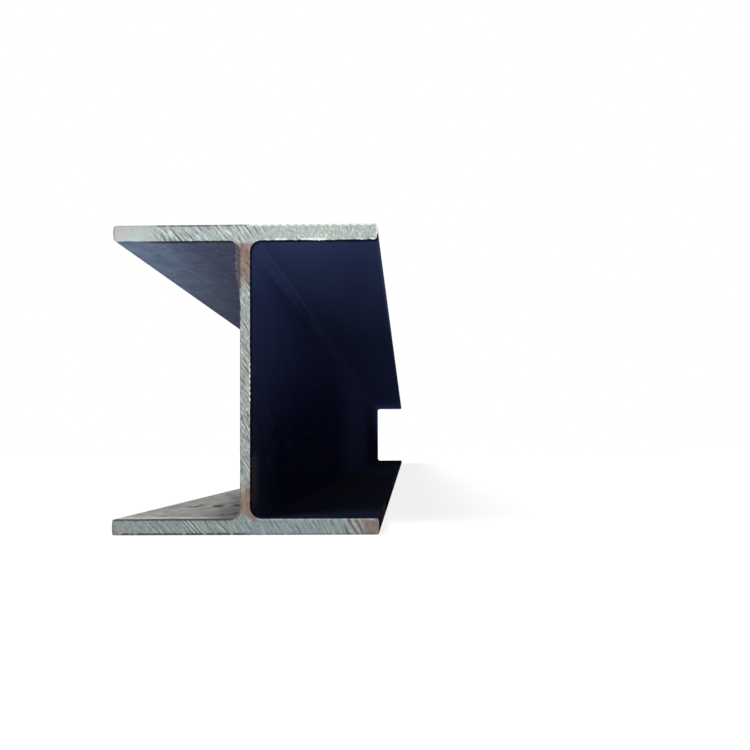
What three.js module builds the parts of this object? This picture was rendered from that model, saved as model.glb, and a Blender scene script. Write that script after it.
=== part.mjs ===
// A hot-rolled steel H-beam: one piece of stock, sawn square at both ends.
//
// Millimetres, +Z up. The beam lies along Y on its bottom flange, with its web upright.
// The origin is at the middle of the length, on the underside of the bottom flange, below the web.

import * as THREE from "three";

// Driving dimensions of the section, as a rolling mill states them.
const SECTION_DEPTH = 350; // over both flanges
const FLANGE_WIDTH = 300;
const FLANGE_THICKNESS = 18;
const WEB_THICKNESS = 11;
const ROOT_RADIUS = 13; // the fillet where the web meets a flange
const TOE_RADIUS = 2; // the rolled corners along a flange's outer edges

const BEAM_LENGTH = 6000; // a stock length

const ARC_DIVISIONS = 5; // three.js draws twice as many chords on each quarter turn

// The twelve corners of the H, counter-clockwise from the left end of the bottom flange's underside.
// Each one is [across the flanges, up from the ground, radius].
function sectionCorners() {
  const tip = FLANGE_WIDTH / 2;
  const web = WEB_THICKNESS / 2;
  const bottomInside = FLANGE_THICKNESS;
  const topInside = SECTION_DEPTH - FLANGE_THICKNESS;
  const rightSide = [
    [tip, 0, TOE_RADIUS],
    [tip, bottomInside, TOE_RADIUS],
    [web, bottomInside, ROOT_RADIUS],
    [web, topInside, ROOT_RADIUS],
    [tip, topInside, TOE_RADIUS],
    [tip, SECTION_DEPTH, TOE_RADIUS],
  ];
  const leftSide = rightSide.map(([across, up, radius]) => [-across, up, radius]).reverse();
  return [...rightSide, ...leftSide];
}

// A closed outline through right-angled corners, each one rounded by an arc that is tangent to both its sides.
// Left turns round off an outer corner, and right turns leave a fillet in an inner one.
function roundedOutline(corners) {
  const outline = new THREE.Shape();
  const count = corners.length;
  corners.forEach(([across, up, radius], i) => {
    const corner = new THREE.Vector2(across, up);
    const before = new THREE.Vector2(...corners[(i + count - 1) % count]);
    const after = new THREE.Vector2(...corners[(i + 1) % count]);
    const arriving = corner.clone().sub(before).normalize();
    const leaving = after.sub(corner).normalize();
    const centre = corner.clone().addScaledVector(arriving, -radius).addScaledVector(leaving, radius);
    const turnsRight = arriving.cross(leaving) < 0;
    outline.absarc(centre.x, centre.y, radius, leaving.clone().negate().angle(), arriving.angle(), turnsRight);
  });
  outline.closePath();
  return outline;
}

// The section is drawn upright and extruded towards +Z, so a quarter turn about X lays it along Y.
function rolledSection() {
  const geometry = new THREE.ExtrudeGeometry(roundedOutline(sectionCorners()), {
    depth: BEAM_LENGTH,
    bevelEnabled: false,
    curveSegments: ARC_DIVISIONS,
  });
  geometry.rotateX(Math.PI / 2);
  geometry.translate(0, BEAM_LENGTH / 2, 0);
  return geometry;
}

// Bare steel where the saw cut it, and the blue-black mill scale of hot rolling everywhere else.
function sawnSteel() {
  return new THREE.MeshStandardMaterial({ color: 0xaab4b0, roughness: 0.45, metalness: 0.6 });
}

function millScale() {
  return new THREE.MeshStandardMaterial({ color: 0x3a4158, roughness: 0.6, metalness: 0.3 });
}

// An extruded geometry's first group is its two ends, and its second is its sides.
const beam = new THREE.Mesh(rolledSection(), [sawnSteel(), millScale()]);
beam.name = "h_beam";

const group = new THREE.Group();
group.add(beam);

export default group;
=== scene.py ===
# %% [markdown]
# # A hot-rolled steel H-beam
#
# A rolling mill squeezes a red-hot bar between four rolls until its section is an H: two wide flanges
# joined by a thinner web, with a fillet in each inner corner. The whole beam is one piece of steel. It
# cools in the air, which grows a blue-black skin of mill scale on it, and then a big saw cuts it to length
# and leaves bare grey ends.
#
# The solid that this lesson starts from already has the section and the size. The lesson adds what the
# saw, the yard and the weather did to it: tooth marks and burrs on the ends, and scale, dust and rust on
# the long faces.

# %% Load the solid and measure its box
import bmesh
import bpy
import math
from mathutils import Matrix, Vector, kdtree, noise


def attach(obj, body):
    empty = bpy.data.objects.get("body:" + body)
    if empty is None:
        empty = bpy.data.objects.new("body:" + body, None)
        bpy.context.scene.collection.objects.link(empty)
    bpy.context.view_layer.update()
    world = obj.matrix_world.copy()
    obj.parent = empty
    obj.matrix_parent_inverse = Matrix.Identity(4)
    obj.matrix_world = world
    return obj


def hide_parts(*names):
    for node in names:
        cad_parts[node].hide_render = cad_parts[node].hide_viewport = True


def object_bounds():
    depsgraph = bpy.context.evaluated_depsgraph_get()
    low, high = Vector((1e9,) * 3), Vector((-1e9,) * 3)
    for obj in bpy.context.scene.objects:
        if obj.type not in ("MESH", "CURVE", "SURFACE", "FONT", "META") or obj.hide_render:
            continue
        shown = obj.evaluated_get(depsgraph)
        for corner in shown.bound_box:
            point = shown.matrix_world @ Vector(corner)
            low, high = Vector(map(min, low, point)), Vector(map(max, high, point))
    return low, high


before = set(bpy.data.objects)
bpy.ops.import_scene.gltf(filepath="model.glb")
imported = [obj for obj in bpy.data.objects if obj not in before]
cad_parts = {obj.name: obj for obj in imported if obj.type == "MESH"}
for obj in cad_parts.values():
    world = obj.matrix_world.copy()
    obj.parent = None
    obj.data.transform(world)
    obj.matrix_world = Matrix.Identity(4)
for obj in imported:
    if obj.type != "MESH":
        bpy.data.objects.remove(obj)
solid_low, solid_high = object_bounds()
MM = 0.001
print("solid, in metres:", [round(side, 4) for side in solid_high - solid_low])

# %% [markdown]
# ## The camera
#
# It looks almost straight at a sawn end from 1.3 m away, as someone does who crouches in front of a stack
# to read its section. It is low enough to see the underside of the top flange, and just past the beam's
# right edge. A near camera also makes the six metres behind the end shrink fast, which shows that this is
# long stock.

# %% The camera
PICTURE = 750            # pixels along each side of the picture
FOCAL_LENGTH = 1200      # pixels
CENTRE_DROP = 20         # pixels from the middle of the picture down to the lens axis
EYE = Vector((0.1812, solid_low.y - 1.3421, 0.0971))
TURN_LEFT, TILT_UP, ROLL = math.radians(1.50), math.radians(2.51), math.radians(-0.28)

camera = bpy.data.objects.new("camera", bpy.data.cameras.new("camera"))
bpy.context.scene.collection.objects.link(camera)
camera.data.sensor_width = 36
camera.data.lens = camera.data.sensor_width * FOCAL_LENGTH / PICTURE
camera.data.shift_y = CENTRE_DROP / PICTURE
level_gaze = math.pi / 2
camera.matrix_world = (
    Matrix.Translation(EYE)
    @ Matrix.Rotation(TURN_LEFT, 4, "Z")
    @ Matrix.Rotation(level_gaze + TILT_UP, 4, "X")
    @ Matrix.Rotation(ROLL, 4, "Z")
)
bpy.context.scene.camera = camera
bpy.context.scene.view_settings.view_transform = "Standard"
print("lens, in mm:", round(camera.data.lens, 1))

# %% [markdown]
# ## A merged copy of the rolled section
#
# The long faces could be drawn again from the section's sizes, but then two drawings would have to agree.
# A copy of the solid can't be wrong. It comes as loose triangles, so its doubles are merged, and flat
# neighbours are dissolved into one face each. The sizes that the later steps need are read from it: the
# root fillets end where the flanges' inner faces and the web's faces begin.

# %% Copy the section and keep the near half
TOUCHING = 1e-5          # metres: corners closer than this are one corner
FLAT = math.radians(1)   # faces that turn less than this are one face

beam_mesh = bmesh.new()
beam_mesh.from_mesh(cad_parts["h_beam"].data)
bmesh.ops.remove_doubles(beam_mesh, verts=beam_mesh.verts, dist=TOUCHING)
bmesh.ops.dissolve_limit(
    beam_mesh, angle_limit=FLAT, verts=beam_mesh.verts[:], edges=beam_mesh.edges[:]
)
bmesh.ops.bisect_plane(
    beam_mesh, geom=beam_mesh.verts[:] + beam_mesh.edges[:] + beam_mesh.faces[:],
    dist=TOUCHING, plane_co=(0, 0, 0), plane_no=(0, 1, 0), clear_outer=True,
)
half_width, half_length, depth = solid_high.x, solid_high.y, solid_high.z
half_web = min(abs(v.co.x) for v in beam_mesh.verts)
root_end = max(abs(v.co.x) for v in beam_mesh.verts if abs(v.co.x) < half_width / 2)
flange = min(v.co.z for v in beam_mesh.verts if abs(v.co.x) < root_end + TOUCHING and v.co.z > TOUCHING)
print("web, root and flange, in mm:", [round(size / MM, 2) for size in (2 * half_web, root_end, flange)])

# %% [markdown]
# ## Cuts for the smooth shading and for the sawn ends
#
# Tooth marks are under a millimetre deep, but they catch the light and they nick the outline. So they are
# real shape here, and not only a trick of the shader. They need a fine grid on the ends, and only there.
# bisect_plane cuts such a grid into any outline. Each cut is given only the faces on its own side of the
# last one, so the work stays small. A few cuts beside the fillets and the rounded toes keep the smooth
# shading of the corners away from the wide flat faces, and cuts across the length keep those faces from
# being six metres long.
#
# Only the near half is cut. A mirror makes the other half from it.

# %% Slice a set of faces by many parallel planes
ACROSS, ALONG, UP = range(3)


def slice_faces(faces, axis, planes):
    """Cuts the faces by planes at these places along one axis: the middle plane first, then each side."""
    if not planes or not faces:
        return
    middle = len(planes) // 2
    direction = Vector((axis == ACROSS, axis == ALONG, axis == UP))
    parts = {part for face in faces for part in (face, *face.edges, *face.verts)}
    cut = bmesh.ops.bisect_plane(
        beam_mesh, geom=list(parts), dist=TOUCHING / 100,
        plane_co=direction * planes[middle], plane_no=direction,
    )
    pieces = [part for part in cut["geom"] if isinstance(part, bmesh.types.BMFace)]
    centres = {face: face.calc_center_median()[axis] for face in pieces}
    slice_faces([f for f in pieces if centres[f] < planes[middle]], axis, planes[:middle])
    slice_faces([f for f in pieces if centres[f] > planes[middle]], axis, planes[middle + 1:])


def steps(low, high, pitch):
    """Evenly spaced places strictly between low and high, on whole multiples of the pitch."""
    first, last = math.floor(low / pitch) + 1, math.ceil(high / pitch) - 1
    return [pitch * step for step in range(first, last + 1)]


print("cuts every 2 mm between 1 and 9:", steps(1, 9, 2))


# %% Cut the near half
GRID = 1 * MM            # about as fine as the finest tooth mark
END_BAND = 30 * MM       # how far from the cut the grid goes on
BAND_RINGS = (0.8 * MM, 2 * MM, 4 * MM, 8 * MM, 15 * MM, END_BAND)
EASE = 1.5 * MM          # the smooth shading of a corner ends this far beyond it
TOE = 2 * MM             # the rounding along a flange's outer edges
BAY = 0.25               # metres between the cuts across the long faces

beside_web = root_end + EASE
beside_toe = half_width - TOE - EASE
above_root = flange + (root_end - half_web) + EASE
slice_faces(beam_mesh.faces[:], ACROSS, [-beside_toe, -beside_web, beside_web, beside_toe])
slice_faces(beam_mesh.faces[:], UP, [flange / 2, above_root, depth - above_root, depth - flange / 2])
rings = [-half_length + ring for ring in BAND_RINGS]
slice_faces(beam_mesh.faces[:], ALONG, rings + steps(-half_length + BAY / 2, 0, BAY))
for axis, low, high in ((UP, 0, depth), (ACROSS, -half_width, half_width)):
    band = [f for f in beam_mesh.faces if f.calc_center_median().y < -half_length + END_BAND]
    slice_faces(band, axis, steps(low, high, GRID))
print("faces in the near half:", len(beam_mesh.faces))

# %% Mirror it
bmesh.ops.mirror(
    beam_mesh, geom=beam_mesh.verts[:] + beam_mesh.edges[:] + beam_mesh.faces[:],
    axis="Y", merge_dist=TOUCHING / 10,
)
bmesh.ops.dissolve_degenerate(beam_mesh, dist=2 * TOUCHING, edges=beam_mesh.edges)
bmesh.ops.recalc_face_normals(beam_mesh, faces=beam_mesh.faces)
print("closed:", all(edge.is_manifold for edge in beam_mesh.edges), "faces:", len(beam_mesh.faces))

# %% [markdown]
# ## A map for the long faces and the ends
#
# When the finish is baked into an image, Blender's own unwrapping would give each end only as many pixels
# as its share of the surface, which is less than one part in seven hundred. So the beam gets its own map:
# the skin is unrolled like a label into the lower half of the image, and the two ends fill the upper half.
# The unrolling needs the distance round the outline, and walking once along the edges of a cut gives it
# for every corner.

# %% Walk round the outline of the near end
def is_cut(face):
    """Whether a face is part of a sawn end."""
    return abs(face.normal.y) > 0.5 and abs(face.calc_center_median().y) > half_length - TOUCHING


rim_edges = [
    edge for edge in beam_mesh.edges
    if all(vert.co.y < 0 for vert in edge.verts) and sum(is_cut(face) for face in edge.link_faces) == 1
]
neighbours = {}
for edge in rim_edges:
    for vert in edge.verts:
        neighbours.setdefault(vert, []).append(edge.other_vert(vert))
walker, last, round_outline = next(iter(neighbours)), None, 0.0
walked = []
outline = kdtree.KDTree(len(neighbours))
for index in range(len(neighbours)):
    outline.insert((walker.co.x, 0, walker.co.z), index)
    walked.append(round_outline)
    following = next(vert for vert in neighbours[walker] if vert is not last)
    round_outline += (following.co - walker.co).length
    walker, last = following, walker
outline.balance()
print("corners on the outline:", len(walked), "round it, in mm:", round(round_outline / MM, 1))


def distance_round(vert):
    """How far round the outline a corner of the skin lies, wherever it is along the beam."""
    return walked[outline.find((vert.co.x, 0, vert.co.z))[1]]


# %% Lay the faces out
GAP = 0.006              # of the image's width, between the skin and the ends
HALF = 0.5 - GAP
bake_layer = beam_mesh.loops.layers.uv.new("OFBake")


def lay_out_end(loop, end):
    """An end keeps its shape. The near one goes on the left and the far one on the right."""
    scale = HALF / depth
    middle = 0.25 if end < 0 else 0.75
    return middle + loop.vert.co.x * scale * -end, 1 - GAP / 2 - HALF + loop.vert.co.z * scale


for face in beam_mesh.faces:
    if is_cut(face):
        end = math.copysign(1, face.calc_center_median().y)
        for loop in face.loops:
            loop[bake_layer].uv = lay_out_end(loop, end)
        continue
    distances = [distance_round(loop.vert) for loop in face.loops]
    crosses_seam = max(distances) - min(distances) > round_outline / 2
    for loop, distance in zip(face.loops, distances):
        if crosses_seam and distance < round_outline / 2:
            distance += round_outline
        along_image = 0.5 + loop.vert.co.y / (2 * half_length) * (1 - GAP)
        loop[bake_layer].uv = along_image, GAP / 2 + distance / round_outline * (HALF - GAP / 2)
print("pixels to a metre of an end, in an image of 1024:", round(1024 * HALF / depth))

# %% [markdown]
# ## The tooth marks
#
# The blade of a mill's saw is far wider than the beam. This one came up from below, slowly, as it turned,
# so each tooth left a long arc, and the next one left the same arc a little higher. One formula says how
# far up the blade was when it passed a place, and everything on an arc has the same answer. Noise that runs
# along this travel, and changes slowly across the beam, then looks like tooth marks. The formula works on
# plain numbers here, and on shader signals further down.
#
# Places on an end are given as someone sees them who faces it: first how far to the right of the web, and
# then how far up from the ground, in millimetres.

# %% Where the blade was
BLADE_REACH = 1400       # mm, the radius of the arcs
BLADE_CENTRE = -1100     # mm to the right, so it is left of the web


def saw_travel(right, up):
    """How far up the blade's centre was when a tooth passed this place, in mm."""
    return up - (BLADE_REACH**2 - (right - BLADE_CENTRE) ** 2) ** 0.5


def fade(value, low, high):
    """0 at low, 1 at high and smooth between them. High may be the smaller one."""
    share = min(1, max(0, (value - low) / (high - low)))
    return share * share * (3 - 2 * share)


def wave(distance, pitch):
    """Swings from 1 to 0 and back over each pitch."""
    return 0.5 + 0.5 * math.cos(2 * math.pi * distance / pitch)


def waver(first, second, seed):
    """Smooth noise from about -1 to 1, with features one to two units long."""
    return noise.noise(Vector((first, second, seed)))


left_end, right_end = -half_width / MM, half_width / MM
arc_fall = saw_travel(right_end, 0) - saw_travel(left_end, 0)
print("an arc falls this far across the section, in mm:", round(arc_fall))


# %% [markdown]
# The blade turns slower through a wide flange than through the thin web, so the marks stand further apart
# on the flanges. Few of them run right across: they start and stop where the teeth jumped. A strong mark is
# a dark groove with a thin bright crest beside it.

# %% How deep the teeth bit at each place
WEB_PITCH, TOP_PITCH, BOTTOM_PITCH = 6.6, 9.6, 9.5  # mm of travel between two strong marks
WEB_LEAN = 0.45          # the web's marks are steeper: mm more of travel for each mm to the right
WEB_FORCE = 1.7          # and deeper than the flanges', by this factor
GROOVE_DEPTH = 0.6 * MM
TOP = depth / MM         # the section's depth in mm
SMOOTH_FROM, SMOOTH_TO = -88, -122   # mm to the right: the blade left the flanges' left ends smooth
FINE_FROM, FINE_TO = 0, 40           # and its marks are fine on the right half of the top flange


def marks(travel, right, pitch, end):
    """About 1 in a groove and -1 on a crest, for strong marks this far apart."""
    beat = travel / pitch + 1.1 * waver(travel / (3.5 * pitch), right / 28, 7 * end)
    passes = fade(waver(travel / (1.6 * pitch), right / 8, 11 * end), -0.3, 0.3)
    torn = waver(travel / (0.32 * pitch), right / 8, 13 * end)
    return passes * (wave(beat - 0.3, 1) ** 2 - 0.84 * wave(beat, 1) ** 5) + torn


def bite(right, up, end):
    """0 on a crest and 1 in the deepest groove."""
    in_top = fade(up, TOP - 30, TOP - 20)
    in_bottom = fade(up, 30, 20)
    smooth = (in_top + 0.6 * in_bottom) * fade(right, SMOOTH_FROM, SMOOTH_TO)
    fine = in_top * fade(right, FINE_FROM, FINE_TO)
    travel = saw_travel(right, up)
    pattern = in_top * marks(travel, right, TOP_PITCH, end)
    pattern += in_bottom * marks(travel, right, BOTTOM_PITCH, end)
    if in_top + in_bottom < 1:
        on_web = 1 - in_top - in_bottom
        pattern += WEB_FORCE * on_web * marks(travel + WEB_LEAN * right, right, WEB_PITCH, end)
    strength = 0.5 * (1 - 0.93 * smooth) * (1 - 0.5 * fine)
    return min(1, max(0, 0.4 + strength * pattern))


print("bites up the middle of the web:", [round(bite(0, up, -1), 2) for up in range(100, 200, 20)])


# %% [markdown]
# ## Burrs, nicks and rolled toes
#
# Where a tooth leaves the steel it pushes a thin burr over the edge, and where it enters it tears small
# nicks. The burrs stand on the inner faces of the flanges and on both sides of the web. The largest are on
# the right half of the top flange, where the edge is torn. The outer faces only have nicks, because
# nothing may stand out of the section's box. At the top of the web a flake of scale has lifted on the
# left. That flake, the torn stretch and a row of bumps beside the web are the near end's own, and the far
# end does without them. Burrs, nicks and the flake all fade out over the first rings behind the cut.
# The rolls don't press on the toes, the flanges' outer edges, as hard as they do on the rest, so a toe is
# not flat: it stands out a little at the middle of its thickness.
#
# An edge is also a line to the eye: a painted highlight in some places, where burrs, scallops and rounded
# edges catch the light, and painted shadow in others, under burrs and along the bottom edge. Its tone is
# worked out here too, and the shader reads it later.

# %% Which edge of an end this is
BURR = 0.9 * MM          # a large burr
LIP_RINGS = 3            # burrs fade out by this ring of the band
LUMP = 4.4               # mm between the lumps of a torn edge
SCALLOP = 8.8            # mm between the scallops on the top edge
STEP_MARK = 6.6          # mm between the bumps on the web's right edge
STEPS_LOW, STEPS_HIGH = 150, 192     # mm up: where those bumps stand
TORN_LOW, TORN_HIGH = 76, 98         # mm to the right: the top flange's inner edge is torn out most here
FROM_WEB = 100           # mm: a side face further out than this is a toe
FLAKE = 6 * MM           # a thin flake of scale stands out from the left edge of the web this far
FLAKE_LOW, FLAKE_HIGH = 262, 332     # mm up: the flake's two ends


def edge_kind(right, up, outward_right, outward_up):
    """Names the edge of an end that faces this way at this place."""
    if abs(outward_right) > 0.9:
        part = "toe" if abs(right) > FROM_WEB else "web"
        return ("left " if outward_right < 0 else "right ") + part
    if abs(outward_up) < 0.9:
        return "toe corner" if abs(right) > FROM_WEB else "fillet"
    if up > TOP / 2:
        return "top" if outward_up > 0 else "top inner"
    return "bottom" if outward_up < 0 else "bottom inner"


def near_mark(value, low, high, end):
    """1 between low and high on the near end, 0 more than 10 mm beyond them and on the far end."""
    return fade(value, low - 10, low) * fade(value, high + 10, high) if end < 0 else 0


def burr(kind, right, up, end):
    """How far the outline is pushed out at an edge, as a share of a large burr. Below 0 is a nick."""
    lumps = waver((right + up) / LUMP, 0, 17 * end)
    if kind == "right toe" and up > TOP / 2:
        return -0.15 - 1.1 * max(0, lumps)
    if kind == "top":
        return -0.25 - 0.75 * fade(right, 0, 30) * (1 - wave(right, SCALLOP)) - 0.3 * max(0, lumps)
    if kind in ("bottom", "left toe", "right toe", "toe corner"):
        return -0.2 - 0.45 * max(0, lumps)
    if kind == "right web":
        bumps = wave(up, STEP_MARK) * near_mark(up, STEPS_LOW, STEPS_HIGH, end)
        return -0.1 + 0.4 * lumps + 0.7 * bumps
    if kind == "top inner":
        torn_out = near_mark(right, TORN_LOW, TORN_HIGH, end)
        return 0.3 + 0.5 * torn_out + (0.6 + 0.6 * fade(right, 40, 60)) * lumps
    return 0.12 + 0.3 * lumps


def flake(kind, right, up, end):
    """How far the flake stands out at an edge, from 0 to about 1. Only the near end has one."""
    if end > 0 or right > 0 or kind not in ("left web", "fillet"):
        return 0
    ragged = 0.85 + 0.4 * waver(up / LUMP, 0, 23)
    return ragged * fade(up, FLAKE_LOW, FLAKE_LOW + 36) * fade(up, FLAKE_HIGH, FLAKE_HIGH - 8)


def rim_shade(kind, right, up, end):
    """How an edge's painted line looks: below 0 for painted shadow and up to 1 for a painted highlight."""
    dashes = waver(right / 6, up / 6, 19 * end)
    left = fade(right, 10, -10)
    if kind == "top":
        broken = -0.3 - 0.7 * fade(dashes, -0.25, 0.2) * fade(right, -118, -96)
        return left * broken + (1 - left) * (0.4 + 0.6 * wave(right, SCALLOP))
    if kind == "top inner":
        return 0.45 * (1 - left) + (0.6 + 0.4 * (1 - left)) * dashes
    if kind == "bottom inner":
        return -left * (0.85 + 0.5 * dashes) + (1 - left) * (0.45 + 0.6 * dashes)
    if kind == "bottom":
        return -(0.5 + 0.5 * left) * fade(dashes, -0.6, 0.1) * fade(right, -146, -138)
    if kind == "right web":
        bumps = wave(up, STEP_MARK) * near_mark(up, STEPS_LOW, STEPS_HIGH, end)
        clean = fade(up, 285, 265) * fade(up, 60, 90)
        return clean * (0.45 + 0.8 * dashes + 0.4 * bumps)
    if kind == "left web":
        return -0.45 + 0.7 * dashes
    if kind == "right toe" and up > TOP / 2:
        return 0.6 + 0.8 * dashes
    if kind == "left toe":
        return -0.6 if up > TOP / 2 else -0.2
    return -0.6 * left if kind == "fillet" and up < TOP / 2 else 0


over_web = edge_kind(0, TOP, 0, 1)
print("the edge over the web:", over_web, "its tone:", round(rim_shade(over_web, 0, TOP, -1), 2))


# %% Bulge the toes, then mark the ends
TOP_BULGE, BOTTOM_BULGE = 1.2 * MM, 0.3 * MM
TOE_ROOT = 6 * MM        # the bulge starts this far from a flange's outer edge
RIM_WIDTH = 2.8 * MM     # how far an edge's line reaches over the cut, but for these:
RIM_WIDTHS = {"top": 3.4 * MM, "bottom": 3.8 * MM, "left web": 1.7 * MM, "right web": 1.7 * MM}

for vert in beam_mesh.verts:
    reach = fade(abs(vert.co.x), half_width - TOE_ROOT, half_width - TOE)
    at_top = vert.co.z > depth / 2
    from_middle = (vert.co.z - (depth - flange / 2 if at_top else flange / 2)) / (flange / 2)
    bulge = TOP_BULGE if at_top else BOTTOM_BULGE
    vert.co.x -= math.copysign(bulge * reach * from_middle**2, vert.co.x)

groove_layer = beam_mesh.verts.layers.float.new("groove")
rim_layer = beam_mesh.verts.layers.float.new("rim")
flake_layer = beam_mesh.verts.layers.float.new("flake")
shifts, rims = {}, []
for vert in beam_mesh.verts:
    behind_cut = half_length - abs(vert.co.y)
    if behind_cut > BAND_RINGS[LIP_RINGS] + TOUCHING:
        continue
    end = math.copysign(1, vert.co.y)
    right, up = -end * vert.co.x / MM, vert.co.z / MM
    shift = Vector()
    on_cut = behind_cut < TOUCHING
    if on_cut:
        vert[groove_layer] = bite(right, up, end)
        shift.y = -end * GROOVE_DEPTH * vert[groove_layer]
    sides = [face.normal for face in vert.link_faces if abs(face.normal.y) < 0.5]
    if sides:
        outward = sum(sides, Vector()).normalized()
        kind = edge_kind(right, up, -end * outward.x, outward.z)
        lip = 1 - behind_cut / BAND_RINGS[LIP_RINGS]
        stands = flake(kind, right, up, end)
        shift += outward * (BURR * burr(kind, right, up, end) + FLAKE * stands) * lip**3
        if on_cut:
            vert[flake_layer] = stands
            reach = RIM_WIDTHS.get(kind, RIM_WIDTH)
            rims.append((vert, rim_shade(kind, right, up, end), reach))
    shifts[vert] = shift
furthest = max(shift.length for shift in shifts.values())
print("corners moved:", len(shifts), "the furthest one, in mm:", round(furthest / MM, 2))

# %% Spread each edge's line over the cut, then move the corners
nearest = kdtree.KDTree(len(rims))
for index, (vert, _, _) in enumerate(rims):
    nearest.insert(vert.co, index)
nearest.balance()
for vert in shifts:
    if half_length - abs(vert.co.y) < TOUCHING:
        _, index, distance = nearest.find(vert.co)
        _, shade, reach = rims[index]
        vert[rim_layer] = shade * fade(distance, reach, 0.3 * reach)
for vert, shift in shifts.items():
    vert.co += shift
print("corners on the edges of both ends:", len(rims))

# %% [markdown]
# ## The beam's own object
#
# The copy becomes an object that stands for the solid, so the solid is hidden and this one is seen. Edges
# that turn by more than a fillet's chords stay sharp. The cut faces get their own material, because bare
# steel and mill scale look nothing alike.

# %% Make it an object
SHARP = math.radians(40)
deepest_cut = half_length - GROOVE_DEPTH - TOUCHING

beam_data = bpy.data.meshes.new("rolled_beam")
for edge in beam_mesh.edges:
    edge.smooth = edge.calc_face_angle(0) < SHARP
for face in beam_mesh.faces:
    face.smooth = True
    face.material_index = int(abs(face.calc_center_median().y) > deepest_cut and abs(face.normal.y) > 0.5)
beam_mesh.to_mesh(beam_data)
beam_mesh.free()
rolled_beam = bpy.data.objects.new("rolled_beam", beam_data)
bpy.context.scene.collection.objects.link(rolled_beam)
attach(rolled_beam, "root")
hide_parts("h_beam")
print("triangles:", sum(len(face.vertices) - 2 for face in beam_data.polygons))

# %% [markdown]
# ## Shader sums in Python
#
# A finish is mostly arithmetic: noise here, more of it near the cut, none on the web. Wiring Math nodes by
# hand hides that arithmetic, so a small class wraps the output of a node. Adding or multiplying two of
# them makes the Math node and gives back its output. Colours go through Mix nodes, because a Math node
# turns a colour grey.

# %% A signal
class Signal:
    """One output of a material's nodes. Sums and products of signals add Math nodes."""

    def __init__(self, tree, socket=None):
        self.tree = tree
        self.socket = socket

    def node(self, kind, settings, inputs, output=0):
        """Adds any node: its settings first, then the values or links of its sockets."""
        made = self.tree.nodes.new(kind)
        for name, setting in settings.items():
            setattr(made, name, setting)
        for name, value in inputs.items():
            if isinstance(value, Signal):
                self.tree.links.new(value.socket, made.inputs[name])
            else:
                made.inputs[name].default_value = value
        return Signal(self.tree, made.outputs[output])

    def maths(self, operation, *values):
        return self.node("ShaderNodeMath", {"operation": operation}, dict(enumerate(values)))

    def __add__(self, other):
        return self.maths("ADD", self, other)

    def __radd__(self, other):
        return self.maths("ADD", other, self)

    def __sub__(self, other):
        return self.maths("SUBTRACT", self, other)

    def __rsub__(self, other):
        return self.maths("SUBTRACT", other, self)

    def __mul__(self, other):
        return self.maths("MULTIPLY", self, other)

    def __rmul__(self, other):
        return self.maths("MULTIPLY", other, self)

    def __truediv__(self, other):
        return self.maths("DIVIDE", self, other)

    def __pow__(self, other):
        return self.maths("POWER", self, other)

    def __abs__(self):
        return self.maths("ABSOLUTE", self)


# %% Helpers for finishes
def rise(signal, low, high):
    """0 at low, 1 at high and smooth between them. High may be the smaller one."""
    return signal.node(
        "ShaderNodeMapRange", {"interpolation_type": "SMOOTHSTEP"},
        {"Value": signal, "From Min": low, "From Max": high},
    )


def between(signal, low, high, ease):
    """1 between low and high, and 0 further out than the ease beyond them."""
    return rise(signal, low - ease, low) * rise(signal, high + ease, high)


def colour(red, green, blue):
    """A colour as the eye sees it, 0 to 255, turned into the linear amounts that a shader works with."""
    levels = [level / 255 for level in (red, green, blue)]
    linear = [((level + 0.055) / 1.055) ** 2.4 if level > 0.04045 else level / 12.92 for level in levels]
    return (*linear, 1)


def tint(factor, under, over):
    """The colour under where the factor is 0, and the colour over where it is 1."""
    return factor.node("ShaderNodeMix", {"data_type": "RGBA"}, {0: factor, 6: under, 7: over}, 2)


def clouds(place, sizes, seed, detail=3):
    """Noise from 0 to 1 around 0.5, with features of these sizes in metres across, along and up."""
    scaled = place.node(
        "ShaderNodeVectorMath", {"operation": "MULTIPLY_ADD"},
        {0: place, 1: [1 / size for size in sizes], 2: (seed, 2 * seed, 3 * seed)},
    )
    return place.node("ShaderNodeTexNoise", {}, {"Vector": scaled, "Scale": 1, "Detail": detail})


def relief(height, distance):
    """The normal of a surface whose height signal goes from 0 to 1 over this distance in metres."""
    return height.node("ShaderNodeBump", {}, {"Height": height, "Distance": distance})


def place_in_beam(start):
    """The place in the beam as one signal, and then how far across, along and up it is, in metres."""
    place = start.node("ShaderNodeTexCoord", {}, {}, "Object")
    parts = [place.node("ShaderNodeSeparateXYZ", {}, {0: place}, axis) for axis in (ACROSS, ALONG, UP)]
    return place, *parts


def new_material(name):
    """A material with one Principled shader. Gives the material, that shader and a signal to start from."""
    material = bpy.data.materials.new(name)
    material.use_nodes = True
    shader = material.node_tree.nodes["Principled BSDF"]
    return material, shader, Signal(material.node_tree)


def feed(shader, inputs):
    """Sets the shader's sockets to these values, or links these signals to them."""
    for name, value in inputs.items():
        if isinstance(value, Signal):
            value.tree.links.new(value.socket, shader.inputs[name])
        else:
            shader.inputs[name].default_value = value


# %% [markdown]
# ## Mill scale
#
# Scale is a thin crust of iron oxide, blue-black and dull. Where the beam lay open to the yard, on its
# left, dust has turned it to a greyer blue. Painted light makes that side lighter still near the ends and
# towards the flanges' outer edges, and painted shade darkens it beside the web. On its right, where other
# stock lay close, it is dark navy under painted shade: darkest low on the web, and lighter high up by the
# cut, where painted light comes in. Dust also lies on the top and on the left ledge, with scars where it
# was wiped or knocked off and a little rust where rain stands.
#
# One noise can't do all that. Each cause gets its own: broad patches, small mottle, streaks along the
# rolling direction, and hues that drift. They read the place in the beam, so they run through it without a
# seam.

# %% Mill scale: where things are
scale_material, scale_shader, start = new_material("mill_scale")
place, across, along, up = place_in_beam(start)
from_cut = (half_length - abs(along)) / MM
across, up = across / MM, up / MM

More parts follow.
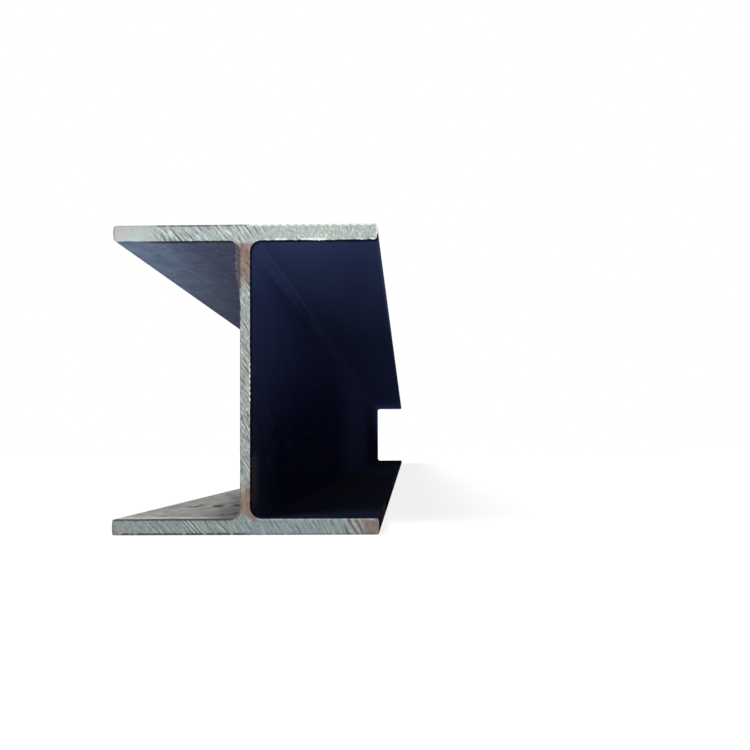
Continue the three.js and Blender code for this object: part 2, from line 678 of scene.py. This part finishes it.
left_side = rise(across, 3, -3)
covered = rise(across, -3, 3) * rise(up, TOP - 0.5, TOP - 1.5)
outer_left = rise(across, -45, -145)
near_cut = rise(from_cut, 800, 30)
# Lighter towards the ends: dust, and painted light that comes in from the open ends.
end_light_and_dust = rise(from_cut, 950, 0)
top_face = rise(up, TOP - 1.2, TOP - 0.2)
ledge = rise(up, 34, 20) * rise(up, 15, 17)
facing_up = rise(top_face + ledge * left_side, 0.2, 0.9)

patches = clouds(place, (0.10, 0.6, 0.10), 1)
mottle = clouds(place, (0.014, 0.05, 0.014), 4, 5)
grain = clouds(place, (0.004, 0.013, 0.004), 5, 2)
hue_patch = clouds(place, (0.04, 0.12, 0.04), 6, 2)
streaks = clouds(place, (0.010, 0.9, 0.010), 2, 2)
scars = clouds(place, (0.035, 0.10, 0.035), 9, 3)
rust_spots = clouds(place, (0.05, 0.25, 0.05), 12, 6)
print("mill scale, nodes so far:", len(scale_material.node_tree.nodes))

# %% Mill scale: the skin
# Painted shade on the right, where other stock lay close: the web is darkest low down some way in from the
# cut, and lighter high up by the cut, where painted light comes in. The fillet and the underside are
# lighter by the cut and darker deeper in, and under_lit adds painted light to the underside near the cut
# and the web.
web_height = up - 70 * rise(from_cut, 100, 1600)
web_light = tint(near_cut, colour(27, 34, 62), colour(43, 52, 88))
web_dark = tint(rise(from_cut, 350, 20), colour(6, 8, 27), colour(20, 24, 42))
web_dark = tint(rise(from_cut, 1500, 2600), web_dark, colour(20, 24, 44))
web_navy = tint(rise(web_height, 80, 345), web_dark, web_light)
web_navy = tint(rise(up, 265, 325) * rise(from_cut, 300, 30) * 0.6, web_navy, colour(66, 78, 120))
fillet_navy = tint(rise(from_cut, 20, 800), colour(57, 68, 107), colour(30, 37, 64))
fillet_navy = tint(rise(from_cut, 800, 1800), fillet_navy, colour(26, 32, 56))
under_lit = rise(from_cut, 900, 60) * rise(across, 130, 30)
under_navy = tint(rise(from_cut, 250, 1500), colour(50, 61, 99), colour(36, 44, 74))
under_navy = tint(under_lit, under_navy, colour(65, 78, 122))
navy = tint(rise(up, TOP - 34, TOP - 24), web_navy, fillet_navy)
navy = tint(rise(up, TOP - 20, TOP - 18.5), navy, under_navy)
# On the left the scale is dusty. Painted light makes it lighter towards the flanges' outer edges and near
# the ends, and painted shade makes it darker beside the web.
far_dust_and_shade = tint(outer_left, colour(30, 34, 50), colour(66, 72, 103))
near_dust_and_light = tint(outer_left, colour(93, 101, 139), colour(138, 161, 192))
dust_and_painted_light = tint(end_light_and_dust, far_dust_and_shade, near_dust_and_light)
dust_and_painted_light = tint(rise(patches, 0.42, 0.62) * 0.25, dust_and_painted_light, colour(92, 98, 116))
shade_by_web = rise(across, -20, -7)
dust_and_painted_light = tint(shade_by_web * 0.6, dust_and_painted_light, tint(end_light_and_dust, colour(34, 37, 48), colour(84, 92, 112)))
skin = tint(left_side, navy, dust_and_painted_light)

open_share = 1 - 0.93 * covered
skin = tint(rise(hue_patch, 0.5, 0.62) * 0.3 * open_share, skin, colour(78, 66, 98))
skin = tint(rise(hue_patch, 0.5, 0.38) * 0.3 * open_share, skin, colour(54, 82, 98))
skin = tint(rise(mottle, 0.52, 0.72) * 0.2 * open_share, skin, colour(132, 136, 150))
skin = tint(rise(mottle, 0.48, 0.3) * 0.2 * open_share, skin, colour(12, 14, 22))
skin = tint(rise(grain, 0.5, 0.7) * 0.16 * open_share, skin, colour(140, 138, 156))
skin = tint(rise(grain, 0.5, 0.3) * 0.22 * open_share, skin, colour(12, 14, 22))
scarred = rise(scars, 0.64, 0.68) * (1 - covered) * rise(from_cut, 300, 900)
skin = tint(scarred * 0.35, skin, colour(104, 92, 86))
print("mill scale, nodes so far:", len(scale_material.node_tree.nodes))

# %% [markdown]
# The dust comes next, because it lies over the skin. On the upward faces it is a warm grey. On the ledge it
# is darker towards the web, and darker still in a wedge beside the web that widens away from the cut: both
# are painted shade. Dark scars show the scale through it. A painted highlight follows the cut along the
# ledge's front edge.

# %% Mill scale: dust, rust and the saw's edge
dust_with_painted_light = tint(rise(streaks, 0.4, 0.6), colour(164, 164, 156), colour(180, 180, 170))
dust_with_painted_light = tint(rise(mottle, 0.45, 0.62) * 0.6, dust_with_painted_light, colour(134, 133, 132))
dust_with_painted_light = tint(rise(patches, 0.4, 0.6) * 0.3, dust_with_painted_light, colour(144, 142, 134))
# Painted shade on the ledge: darker towards the web, and darker still in a wedge beside the web that widens
# away from the cut.
dust_with_painted_light = tint(ledge * rise(abs(across), 105, 22) * 0.7, dust_with_painted_light, colour(118, 115, 116))
painted_web_shade = ledge * rise(across + 0.13 * from_cut, -45, -12) * rise(from_cut, 1000, 600)
dust_with_painted_light = tint(painted_web_shade * (0.45 + 0.3 * rise(mottle, 0.4, 0.6)), dust_with_painted_light, colour(98, 94, 94))
dust_with_painted_light = tint(rise(scars, 0.62, 0.68) * rise(from_cut, 500, 900) * 0.6, dust_with_painted_light, colour(72, 70, 72))
rubbed = between(from_cut, 288, 328, 32) * between(across, -112, -52, 8) * rise(mottle, 0.45, 0.56)
rough = between(from_cut, 90, 130, 30) * between(across, -40, -26, 6) * rise(mottle, 0.42, 0.5)
dust_with_painted_light = tint(ledge * (rubbed * 0.75 + rough * 0.6), dust_with_painted_light, colour(64, 60, 60))
dust_with_painted_light = tint(rise(rust_spots, 0.6, 0.68) * rise(from_cut, 300, 900) * 0.35, dust_with_painted_light, colour(122, 96, 80))
# A painted highlight along the ledge's front edge, just behind the cut.
painted_cut_highlight = ledge * between(from_cut, 12, 40, 8) * rise(across, -20, -70)
dust_with_painted_light = tint(painted_cut_highlight * (0.4 + 0.6 * rise(mottle, 0.4, 0.55)) * 0.75, dust_with_painted_light, colour(206, 202, 198))
skin = tint(facing_up * 0.95, skin, dust_with_painted_light)

rain_line = between(up, 20, 36, 10) * rise(across, -12, -26) * rise(across, -60, -40)
toes = rise(abs(across), half_width / MM - 1.6, half_width / MM - 0.6)
skin = tint(toes * left_side * 0.7, skin, colour(78, 84, 100))
rusting = (0.5 * rain_line + 0.4 * toes) * rise(rust_spots, 0.48, 0.62) * rise(from_cut, 60, 300)
skin = tint(rusting, skin, colour(98, 72, 58))
# Darker low on the web's right face, by the cut.
dark_low_web_patch = between(up, 40, 78, 20) * between(across, 5, 7, 3) * rise(from_cut, 100, 30)
skin = tint(dark_low_web_patch * 0.5, skin, colour(66, 58, 60))
# A dark band just behind the cut: partly the saw's heat tint and partly painted shade under the burred
# edge. It is nearly black on the right, and weaker on the top face and at the far left, where dust and
# painted light cover it.
heat_tint_and_shade = tint(left_side, colour(10, 11, 20), tint(ledge, colour(34, 35, 46), colour(72, 60, 50)))
dusted_and_lit_outer_left = 0.8 * left_side * rise(across, -100, -125)
at_edge = rise(from_cut + 10 * mottle + 10 * ledge, 28, 18) * (1 - dusted_and_lit_outer_left)
skin = tint(at_edge * (0.8 - 0.65 * top_face), skin, heat_tint_and_shade)
# Painted shade on the right ledge, where other stock lay close, from a little way behind the cut.
shaded_right_ledge = ledge * rise(across, 12, 20)
skin = tint(shaded_right_ledge * rise(from_cut, 60, 400) * 0.5, skin, colour(40, 42, 52))
print("mill scale, nodes so far:", len(scale_material.node_tree.nodes))

# %% Mill scale: gloss and relief
pits = 0.6 * mottle + 0.4 * clouds(place, (0.004, 0.009, 0.004), 15)
feed(scale_shader, {
    "Base Color": skin,
    "Roughness": 0.62 + 0.3 * mottle + 0.15 * facing_up,
    "Coat Weight": left_side * (1 - facing_up) * 0.12,
    "Coat Roughness": 0.45,
    "Specular IOR Level": 0,
    "Normal": relief(pits + 0.5 * streaks, 0.25 * MM),
})
print("mill scale, nodes in all:", len(scale_material.node_tree.nodes))

# %% [markdown]
# ## Sawn steel
#
# A fresh cut is bright, but these ends have stood outside. They have dulled to a pale grey with a green or
# blue cast, and the steel around the roots has started to rust, where water sits in the fillets. The tooth
# marks are already in the mesh. The mesh also carries three numbers to the shader: how deep the groove is,
# how bright or dark the painted line of the nearest edge is, and whether this is the flake. With them the
# colour follows the shape: the grooves are darker and the crests brighter, partly dirt and rubbing and
# partly painted shade and highlight of the relief. The ends are also painted lighter at the top and darker
# towards the bottom, as light from above falls on them.

# %% Sawn steel: where things are
sawn_material, sawn_shader, start = new_material("sawn_steel")
place, across, along, up = place_in_beam(start)
facing = 1 - 2 * rise(along, -1, 1)
right, up = across / MM * facing, up / MM
near_end = rise(along, 1, -1)

groove, rim, on_flake = (
    place.node("ShaderNodeAttribute", {"attribute_name": layer}, {}, "Fac")
    for layer in ("groove", "rim", "flake")
)
in_top = rise(up, TOP - 30, TOP - 20)
dome = up + 6 * between(abs(right), 12, 16, 10)
in_bottom = rise(dome, 27, 20)
on_web = (1 - in_top) * (1 - in_bottom)
travel = saw_travel(right, up) + WEB_LEAN * right * on_web
marks_at = place.node("ShaderNodeCombineXYZ", {}, {0: travel / 2.2, 1: right / 7, 2: along * 7})
scratches = place.node("ShaderNodeTexNoise", {}, {"Vector": marks_at, "Scale": 1, "Detail": 3})
flecks_at = place.node("ShaderNodeCombineXYZ", {}, {0: travel / 2.4, 1: right / 2.2, 2: along * 7})
flecks = place.node("ShaderNodeTexNoise", {}, {"Vector": flecks_at, "Scale": 1, "Detail": 2})
blotches = clouds(place, (0.0045, 0.5, 0.0035), 11, 2)
hues = clouds(place, (0.022, 0.5, 0.014), 5)
hues_again = clouds(place, (0.016, 0.5, 0.022), 8)

smooth = (in_top + 0.5 * in_bottom) * rise(right, SMOOTH_FROM, SMOOTH_TO)
fine = in_top * rise(right, FINE_FROM, FINE_TO + 20)


def by_part(bottom, web, top):
    """One colour for each flange and one for the web."""
    return tint(in_bottom, tint(in_top, web, top), bottom)


def tooth_wave(travelled, pitch):
    """Swings from 1 to -1 and back over each pitch of the blade's travel."""
    return travelled.maths("COSINE", travelled * (2 * math.pi / pitch))


# %% Sawn steel: hues
# Painted light from above: the ends are lighter on the top flange and darker on the bottom flange, and the
# web is darker low down.
plain_web = tint(rise(up, 270, 170), colour(153, 159, 154), colour(140, 147, 146))
plain_top = tint(fine, colour(154, 165, 164), colour(163, 175, 170))
steel = by_part(colour(128, 137, 135), plain_web, plain_top)
smooth_top = tint(rise(right, -145, -120), colour(180, 173, 174), colour(171, 180, 176))
steel = tint(smooth * in_top, steel, smooth_top)

green = by_part(colour(110, 132, 122), colour(134, 155, 142), colour(150, 169, 159))
blue = by_part(colour(118, 128, 142), colour(144, 150, 167), colour(156, 165, 178))
beige = by_part(colour(140, 128, 124), colour(152, 142, 134), colour(180, 171, 166))
steel = tint(rise(hues, 0.5, 0.64) * 0.5, steel, green)
steel = tint(rise(hues, 0.5, 0.36) * 0.4, steel, blue)
steel = tint(rise(hues_again, 0.53, 0.65) * 0.3, steel, beige)
steel = tint(in_bottom * between(right, 5, 108, 20) * 0.45, steel, colour(112, 137, 141))
lilac = in_bottom * between(right, -5, 75, 15) * rise(scratches, 0.5, 0.62) * rise(hues_again, 0.42, 0.56)
steel = tint(lilac * 0.6, steel, colour(126, 116, 132))
pale_edge = in_top * between(right, -140, -122, 8) * rise(up, TOP - 13, TOP - 17)
steel = tint(pale_edge * near_end * 0.6, steel, colour(166, 196, 198))
print("sawn steel, nodes so far:", len(sawn_material.node_tree.nodes))

# %% Sawn steel: marks
SCORED_AT = saw_travel(-58, 9)       # mm of travel: three deep scores stand close together here

dark = by_part(colour(80, 88, 88), colour(84, 89, 88), colour(92, 96, 95))
gleam = by_part(colour(160, 168, 168), colour(196, 202, 200), colour(206, 214, 210))
marked = (1 - 0.8 * smooth) * (1 - 0.35 * fine) * (1 - 0.3 * in_bottom)
# Grooves painted darker and crests lighter: partly dirt and rubbing, partly painted shade and highlight of
# the relief.
steel = tint(rise(groove, 0.4, 0.95) * marked * 0.9, steel, dark)
steel = tint(rise(groove, 0.36, 0.05) * marked * 0.85, steel, gleam)
steel = tint(rise(scratches, 0.52, 0.72) * marked * 0.35, steel, dark)
steel = tint(rise(scratches, 0.48, 0.3) * marked * 0.3, steel, gleam)
flecked = 0.3 + 0.35 * fine + 0.3 * on_web - 0.2 * smooth * in_top
steel = tint(rise(flecks, 0.52, 0.68) * flecked, steel, tint(fine, dark, colour(108, 122, 112)))
steel = tint(rise(flecks, 0.48, 0.32) * flecked, steel, tint(fine, gleam, colour(220, 226, 221)))
blotched = in_bottom * (0.1 + 0.2 * rise(right, -95, -115))
steel = tint(rise(blotches, 0.5, 0.62) * blotched, steel, colour(96, 106, 102))
steel = tint(rise(blotches, 0.5, 0.38) * blotched, steel, colour(158, 166, 168))
lone_from = travel + 9 * hues
lone = rise(up, 21, 16) * rise(right, 20, -15) * rise(right, -125, -105) * rise(hues_again, 0.42, 0.54)
# Each lone mark and each score is a dark line beside a bright one: painted shade and highlight on its two
# sides.
steel = tint(lone * rise(tooth_wave(lone_from, 17), 0.82, 0.98) * 0.65, steel, dark)
steel = tint(lone * rise(tooth_wave(lone_from + 2.2, 17), 0.82, 0.98) * 0.55, steel, gleam)
scored = in_bottom * near_end * between(travel + 3 * hues, SCORED_AT - 7, SCORED_AT + 7, 2)
score = tooth_wave(travel + 2 * hues, 5.3)
steel = tint(scored * rise(score, 0.1, 0.8) * 0.65, steel, colour(62, 66, 66))
steel = tint(scored * rise(score, -0.1, -0.8) * 0.5, steel, colour(178, 184, 182))
brown_marks = in_top * between(right, -84, -74, 5) * rise(up, TOP - 7, TOP - 12) * rise(groove, 0.3, 0.6)
steel = tint(brown_marks * near_end * 0.7, steel, colour(96, 84, 76))
# Painted highlights on the lumps of the torn stretch.
lit_torn_lumps = in_top * between(right, 76, 98, 6) * rise(up, TOP - 8, TOP - 15) * near_end
steel = tint(lit_torn_lumps * rise(flecks, 0.55, 0.4) * 0.6, steel, colour(220, 220, 214))
chipped = in_top * between(right, 139, 145, 3) * rise(up, TOP - 13, TOP - 17) * near_end
steel = tint(chipped * 0.6, steel, colour(96, 92, 80))
print("sawn steel, nodes so far:", len(sawn_material.node_tree.nodes))

# %% [markdown]
# Rust starts where water stays longest: in the roots above and below the web, and at the toes of the
# bottom flange. It runs along the web as streaks, so it is drawn with noise that is stretched upwards. It
# has dulled the steel, so it also makes the surface rougher and less metallic.

# %% Sawn steel: rust
runs = clouds(place, (0.0028, 0.5, 0.02), 3, 3)
upper_root = rise(up + 14 * runs, 281, 299) * rise(up, 331, 326)
lower_root = rise(up, 66, 44) * rise(dome + 3 * rise(right, -3, 5), 20, 27)
root_rust = (upper_root + lower_root) * rise(abs(right), 18, 10)
rusty = tint(rise(runs, 0.4, 0.6), colour(104, 84, 75), colour(140, 128, 113))
rusty = tint(rise(scratches, 0.5, 0.64) * 0.7, rusty, colour(76, 60, 54))
rusty = tint(rise(flecks, 0.48, 0.34) * 0.55, rusty, colour(172, 160, 150))
rusty = tint(rise(blotches, 0.5, 0.6) * 0.5, rusty, colour(92, 68, 62))
rusty = tint(rise(up, 200, 100) * 0.35, rusty, colour(108, 84, 72))
rusty_sides = tint(rise(up, 100, 200), colour(108, 84, 80), colour(152, 136, 130))
rusty = tint(rise(abs(right), 3.5, 6.5) * 0.5, rusty, rusty_sides)
rusty = tint(rise(right, -2.5, -5) * between(up, 284, 308, 8) * 0.6, rusty, colour(84, 62, 64))
steel = tint(root_rust * 0.88, steel, rusty)
red_core = rise(up, 296, 322) * rise(up, 330, 324) * rise(abs(right + 0.5), 6, 1)
steel = tint(red_core * rise(runs, 0.35, 0.55) * near_end * 0.7, steel, colour(150, 100, 92))
orange_run = between(up, 26, 44, 8) * between(right, -1.5, 0.5, 1.5) * near_end
steel = tint(orange_run * rise(runs, 0.3, 0.5) * 0.4, steel, colour(148, 110, 82))
lime_run = between(up, 50, 62, 6) * between(right, -3.5, -1.5, 1.5) * near_end
steel = tint(lime_run * rise(runs, 0.35, 0.6) * 0.55, steel, colour(164, 160, 138))
right_tip = in_bottom * rise(right + 0.4 * up + 5 * flecks + 8 * hues_again, 138, 147)
left_tip = in_bottom * rise(right + 0.4 * up + 6 * flecks, -136, -144)
tip_rust = right_tip + 0.8 * left_tip
steel = tint(tip_rust * 0.85, steel, tint(rise(flecks, 0.4, 0.6), colour(124, 104, 98), colour(98, 80, 74)))
torn_strip = in_bottom * between(right + 14 * scratches, 120, 150, 4) * (1 - right_tip) * near_end
teeth = tooth_wave(travel + 14 * scratches + 5 * flecks, 15) * rise(right, 137, 130)
torn = tint(rise(teeth, -0.1, -0.8), colour(118, 123, 116), colour(72, 73, 68))
torn = tint(rise(teeth, 0.3, 0.9), torn, colour(158, 161, 152))
steel = tint(torn_strip * 0.8, steel, torn)
print("sawn steel, nodes so far:", len(sawn_material.node_tree.nodes))

# %% Sawn steel: edges, gloss and relief
# Each edge's line: a painted highlight where the rim is above 0, and painted shadow where it is below.
painted_edge_highlight = by_part(colour(176, 178, 170), colour(206, 208, 206), colour(232, 233, 228))
painted_edge_shadow = by_part(colour(44, 38, 34), colour(86, 74, 72), colour(98, 91, 91))
steel = tint(rise(rim, 0.05, 0.95) * 0.85, steel, painted_edge_highlight)
steel = tint(rise(rim, -0.05, -0.85) * 0.9, steel, painted_edge_shadow)
steel = tint(rise(on_flake, 0.03, 0.2), steel, colour(70, 58, 62))
scale_grey = tint(rise(flecks, 0.4, 0.6), colour(64, 69, 82), colour(74, 80, 93))
steel = tint(rise(on_flake, 0.3, 0.6), steel, scale_grey)
rust = root_rust + tip_rust
feed(sawn_shader, {
    "Base Color": steel,
    "Metallic": 0.35 * (1 - rust),
    "Roughness": 0.42 + 0.2 * groove + 0.12 * scratches + 0.2 * rust,
    "Normal": relief(scratches, 0.12 * MM),
})
beam_data.materials.append(scale_material)
beam_data.materials.append(sawn_material)
print("sawn steel, nodes in all:", len(sawn_material.node_tree.nodes))

# %% [markdown]
# ## A pale floor and a white room
#
# The beam lies on a pale floor in a plain white room. Enough white paint and lamps to make the room shine
# would also bleach the steel. So the floor and the room have two faces: rays that the camera, a mirror or
# glass sends out find white, and all others find the plain grey that lights the beam. The floor that the
# camera sees is part paint and part glow, so that it still shows the beam's shadow.

# %% Two faces
def when_looked_at(start, plain, shown):
    """Mixes a shader for the rays that light things with a shader for the rays that look at them."""
    looks = sum(
        start.node("ShaderNodeLightPath", {}, {}, ray)
        for ray in ("Is Camera Ray", "Is Glossy Ray", "Is Transmission Ray")
    )
    return start.node("ShaderNodeMixShader", {}, {0: looks, 1: plain, 2: shown})


def only_shader(tree, output_kind):
    """Empties the tree but for its output node. Gives the output's Surface and a signal to start from."""
    tree.nodes.clear()
    return tree.nodes.new(output_kind).inputs["Surface"], Signal(tree)


# %% Floor
FLOOR_SIZE = 60          # metres, far enough to meet the room's white beyond any view
PALE, DIM = (0.8, 0.8, 0.8, 1), (0.25, 0.25, 0.25, 1)
WHITE = (1, 1, 1, 1)
GLOW = 0.8               # of white, and the dim paint adds the rest where no shadow falls

bpy.ops.mesh.primitive_plane_add(size=FLOOR_SIZE, location=(0, 0, 0))
floor = bpy.context.object
floor.name = "floor"
floor_material = bpy.data.materials.new("pale_floor")
floor_material.use_nodes = True
surface, start = only_shader(floor_material.node_tree, "ShaderNodeOutputMaterial")
matt = start.node("ShaderNodeBsdfDiffuse", {}, {"Color": PALE})
dim_paint = start.node("ShaderNodeBsdfDiffuse", {}, {"Color": DIM})
glow = start.node("ShaderNodeEmission", {}, {"Color": WHITE, "Strength": GLOW})
shown_floor = start.node("ShaderNodeAddShader", {}, {0: dim_paint, 1: glow})
start.tree.links.new(when_looked_at(start, matt, shown_floor).socket, surface)
floor.data.materials.append(floor_material)
print("floor, in metres:", FLOOR_SIZE)

# %% World and lamp
ROOM_LIGHT = 0.5         # of white
LAMP_FROM = Vector((-0.6, -1.0, 1.2))  # the upper left, behind the camera
LAMP_POWER = 2.4         # watts to a square metre
LAMP_WIDTH = math.radians(25)          # a wide lamp gives soft shadows

world = bpy.data.worlds.new("studio")
bpy.context.scene.world = world
world.use_nodes = True
surface, start = only_shader(world.node_tree, "ShaderNodeOutputWorld")
plain_room = start.node("ShaderNodeBackground", {}, {"Color": WHITE, "Strength": ROOM_LIGHT})
white_room = start.node("ShaderNodeBackground", {}, {"Color": WHITE, "Strength": 1})
start.tree.links.new(when_looked_at(start, plain_room, white_room).socket, surface)

sun = bpy.data.objects.new("sun", bpy.data.lights.new("sun", "SUN"))
bpy.context.scene.collection.objects.link(sun)
sun.data.energy = LAMP_POWER
sun.data.angle = LAMP_WIDTH
sun.rotation_mode = "QUATERNION"
sun.rotation_quaternion = LAMP_FROM.to_track_quat("Z", "Y")
lamp_height = math.degrees(math.asin(LAMP_FROM.normalized().z))
print("the lamp's height over the floor, in degrees:", round(lamp_height))
